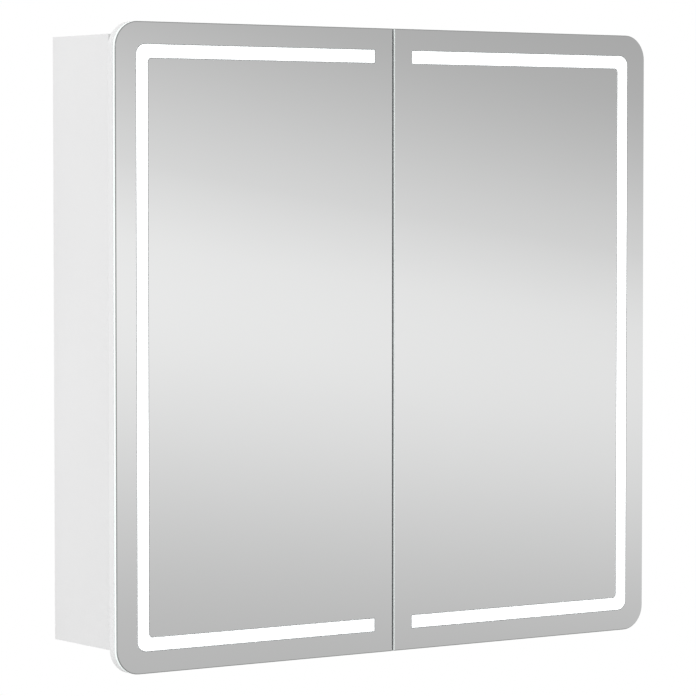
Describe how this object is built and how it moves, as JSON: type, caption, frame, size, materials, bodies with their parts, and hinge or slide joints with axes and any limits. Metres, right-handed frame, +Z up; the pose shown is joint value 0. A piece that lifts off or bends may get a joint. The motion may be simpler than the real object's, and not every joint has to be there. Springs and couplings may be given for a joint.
{
  "type": "mirror medicine cabinet",
  "caption": "Wall-hung bathroom cabinet with mirror doors that swing open, a C-shaped lit band in each mirror, glass shelves and a power box.",
  "frame": {"origin": "on the wall plane, at the middle of the wall rail's screw line", "axes": "+X to the right seen from the front, +Y into the wall, +Z up; the doors face -Y"},
  "size_m": [0.65, 0.122, 0.625],
  "materials": {
    "case_board": "white satin lacquer on board",
    "door_board": "white satin lacquer on board",
    "back_board": "white faced hardboard",
    "mirror": "polished, with ground edges",
    "frosted_glass": "sandblasted, lit from behind",
    "foam_tape": "matt foam",
    "opal_plastic": "opal diffuser",
    "circuit_strip": "white circuit strip",
    "shelf_glass": "clear float glass",
    "nickel": "satin nickel plate",
    "zinc_steel": "bright zinc plate",
    "cast_zinc": "as cast zinc",
    "rail_steel": "galvanised",
    "magnet": "ground",
    "beech": "raw beech",
    "white_plastic": "fine grain",
    "gloss_white_plastic": "gloss",
    "driver_case": "fine grain",
    "terminal_plastic": "natural nylon",
    "grey_rubber": "matt",
    "clear_silicone": "clear",
    "lead_jacket": "white sheath"
  },
  "bodies": {
    "cabinet": {"back_panel": "back_board", "bottom_panel": "case_board", "bracket_adjusters": "zinc_steel", "bracket_hooks": "zinc_steel", "cable_clips": "white_plastic", "cam_bolts": "zinc_steel", "cam_locks": "cast_zinc", "case_screws": "zinc_steel", "catch_magnets": "magnet", "catches": "white_plastic", "centre_divider": "case_board", "door_leads": "lead_jacket", "hinge_arms": "nickel", "hinge_plates": "nickel", "hinge_screws": "zinc_steel", "inlet_grommet": "grey_rubber", "led_driver": "driver_case", "left_lead_loop": "lead_jacket", "left_lower_shelf": "shelf_glass", "left_side_panel": "case_board", "left_upper_shelf": "shelf_glass", "power_box": "white_plastic", "power_cover": "gloss_white_plastic", "right_lead_loop": "lead_jacket", "right_lower_shelf": "shelf_glass", "right_side_panel": "case_board", "right_upper_shelf": "shelf_glass", "shelf_pins": "nickel", "socket_insert": "gloss_white_plastic", "switch_frame": "gloss_white_plastic", "terminal_block": "terminal_plastic", "top_panel": "case_board", "wall_brackets": "white_plastic", "wall_rail": "rail_steel", "wood_dowels": "beech"},
    "left_door": {"left_mirror_glass": "mirror", "left_frosted_band": "frosted_glass", "left_mounting_tape": "foam_tape", "left_door_panel": "door_board", "left_diffuser": "opal_plastic", "left_led_strip": "circuit_strip", "left_hinge_cups": "nickel", "left_hinge_pins": "nickel", "left_strike_plate": "zinc_steel", "left_door_screws": "zinc_steel", "left_bumpers": "clear_silicone", "left_lead_grommet": "grey_rubber"},
    "right_door": {"right_mirror_glass": "mirror", "right_frosted_band": "frosted_glass", "right_mounting_tape": "foam_tape", "right_door_panel": "door_board", "right_diffuser": "opal_plastic", "right_led_strip": "circuit_strip", "right_hinge_cups": "nickel", "right_hinge_pins": "nickel", "right_strike_plate": "zinc_steel", "right_door_screws": "zinc_steel", "right_bumpers": "clear_silicone", "right_lead_grommet": "grey_rubber"},
    "rocker": {"switch_rocker": "gloss_white_plastic"}
  },
  "joints": [
    {"name": "left_door_swing", "type": "hinge", "parent": "cabinet", "child": "left_door", "pos_m": [-0.319, -0.1125, -0.2275], "axis": [0, 0, -1], "range_deg": [0, 105], "deforming": ["left_lead_loop"]},
    {"name": "right_door_swing", "type": "hinge", "parent": "cabinet", "child": "right_door", "pos_m": [0.319, -0.1125, -0.2275], "axis": [0, 0, 1], "range_deg": [0, 105], "deforming": ["right_lead_loop"]},
    {"name": "rocker_tilt", "type": "hinge", "parent": "cabinet", "child": "rocker", "pos_m": [0.038, -0.08, -0.477], "axis": [1, 0, 0], "range_deg": [0, 16]}
  ]
}
